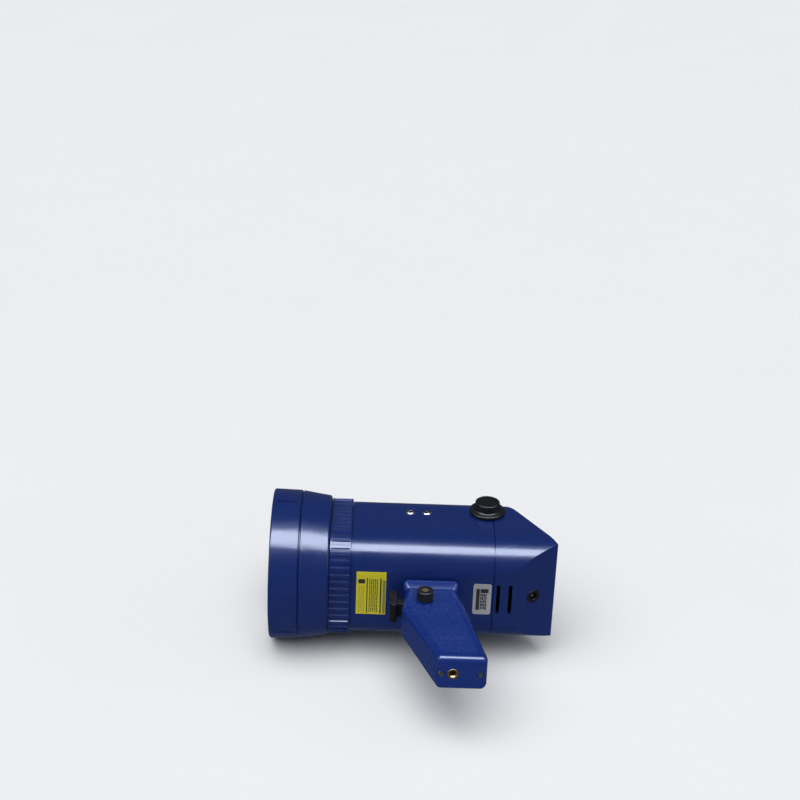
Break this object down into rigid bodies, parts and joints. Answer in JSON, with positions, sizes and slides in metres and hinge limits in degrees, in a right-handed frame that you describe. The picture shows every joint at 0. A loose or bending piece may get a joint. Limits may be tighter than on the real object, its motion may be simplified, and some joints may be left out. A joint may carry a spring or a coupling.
{
  "type": "timing light",
  "caption": "Pistol-grip strobe timing light with round lamp head, ribbed collar, rounded-square barrel, side dial, rear display face and trigger grip.",
  "frame": {"origin": "bottom centre of the bounding box, on the surface that the lamp bezel's rim touches when the tool lies on its right side", "axes": "-X is the way the lamp shines, -Y is the way the grip points, +Z is the tool's left side, which faces up"},
  "size_m": [0.2294, 0.214, 0.122],
  "materials": {
    "blue_moulding": "smooth semi-gloss blue",
    "blue_grip": "fine dimpled satin blue",
    "black_plastic": "fine satin black",
    "black_panel": "gloss black",
    "key_rubber": "satin",
    "clear_lens": "clear",
    "window_glass": "clear",
    "flash_glass": "clear",
    "mirror_dish": "bright",
    "nickel": "bright nickel",
    "steel": "zinc plated",
    "brass": "turned",
    "ceramic": "glazed",
    "black_seal": "matte",
    "knob_grey": "satin",
    "label_silver": "satin foil",
    "sticker_yellow": "satin film",
    "board_green": "solder mask",
    "component_black": "moulded",
    "cell_sleeve": "shrink sleeve",
    "copper_winding": "enamelled wire",
    "lead_red": "insulation"
  },
  "bodies": {
    "tool": {"front_bezel": "blue_moulding", "lens": "clear_lens", "lens_gasket": "black_seal", "reflector": "mirror_dish", "flash_tube": "flash_glass", "tube_socket": "ceramic", "lamp_housing": "blue_moulding", "vent_collar": "blue_moulding", "head_screws": "steel", "main_housing": "blue_moulding", "rear_cap": "blue_moulding", "cap_screws": "steel", "display_panel": "black_panel", "display_window": "window_glass", "lcd_module": "board_green", "keypad_mat": "key_rubber", "main_board": "board_green", "panel_screws": "steel", "encoder_body": "component_black", "encoder_nut": "nickel", "input_jack": "nickel", "output_jack": "nickel", "charge_jack": "black_plastic", "charge_pin": "nickel", "rating_label": "label_silver", "caution_sticker": "sticker_yellow", "grip_left": "blue_grip", "grip_right": "blue_grip", "grip_saddle": "blue_moulding", "saddle_plate": "steel", "saddle_bolts": "steel", "grip_base": "blue_grip", "base_screws": "steel", "tripod_bush": "brass", "grip_screws": "steel", "trigger_spring": "steel", "trigger_switch": "component_black", "battery_cells": "cell_sleeve", "battery_contacts": "nickel", "power_board": "board_green", "board_screws": "steel", "flash_capacitor": "component_black", "capacitor_clip": "steel", "transformer": "copper_winding", "trigger_coil": "copper_winding", "lamp_leads": "lead_red"},
    "trigger": {"trigger": "black_plastic"},
    "control_knob": {"control_knob": "black_plastic", "knob_cap": "knob_grey", "encoder_shaft": "steel"},
    "lock_knob": {"lock_knob": "black_plastic", "lock_shaft": "brass", "lock_cam": "brass"},
    "key_up": {"key_up": "key_rubber"},
    "key_down": {"key_down": "key_rubber"},
    "key_left": {"key_left": "key_rubber"},
    "key_right": {"key_right": "key_rubber"},
    "key_set": {"key_set": "key_rubber"}
  },
  "joints": [
    {"name": "trigger_pull", "type": "slide", "parent": "tool", "child": "trigger", "axis": [1, 0, 0], "range_m": [0, 0.004], "stiffness_N_per_m": 600, "springref_m": -0.003, "deforming": ["trigger_spring"]},
    {"name": "control_knob_turn", "type": "hinge", "parent": "tool", "child": "control_knob", "pos_m": [0.05965, 0.0605, 0.111], "axis": [0, 0, 1], "continuous": true},
    {"name": "lock_knob_turn", "type": "hinge", "parent": "tool", "child": "lock_knob", "pos_m": [0.00905, -0.027, 0.0755], "axis": [0, 0, 1], "range_deg": [0, 90]},
    {"name": "key_up_press", "type": "slide", "parent": "tool", "child": "key_up", "axis": [-0.8499, -0.527, 0], "range_m": [0, 0.0008], "stiffness_N_per_m": 1200, "springref_m": -0.0006},
    {"name": "key_down_press", "type": "slide", "parent": "tool", "child": "key_down", "axis": [-0.8499, -0.527, 0], "range_m": [0, 0.0008], "stiffness_N_per_m": 1200, "springref_m": -0.0006},
    {"name": "key_left_press", "type": "slide", "parent": "tool", "child": "key_left", "axis": [-0.8499, -0.527, 0], "range_m": [0, 0.0008], "stiffness_N_per_m": 1200, "springref_m": -0.0006},
    {"name": "key_right_press", "type": "slide", "parent": "tool", "child": "key_right", "axis": [-0.8499, -0.527, 0], "range_m": [0, 0.0008], "stiffness_N_per_m": 1200, "springref_m": -0.0006},
    {"name": "key_set_press", "type": "slide", "parent": "tool", "child": "key_set", "axis": [-0.8499, -0.527, 0], "range_m": [0, 0.0008], "stiffness_N_per_m": 1200, "springref_m": -0.0006}
  ]
}
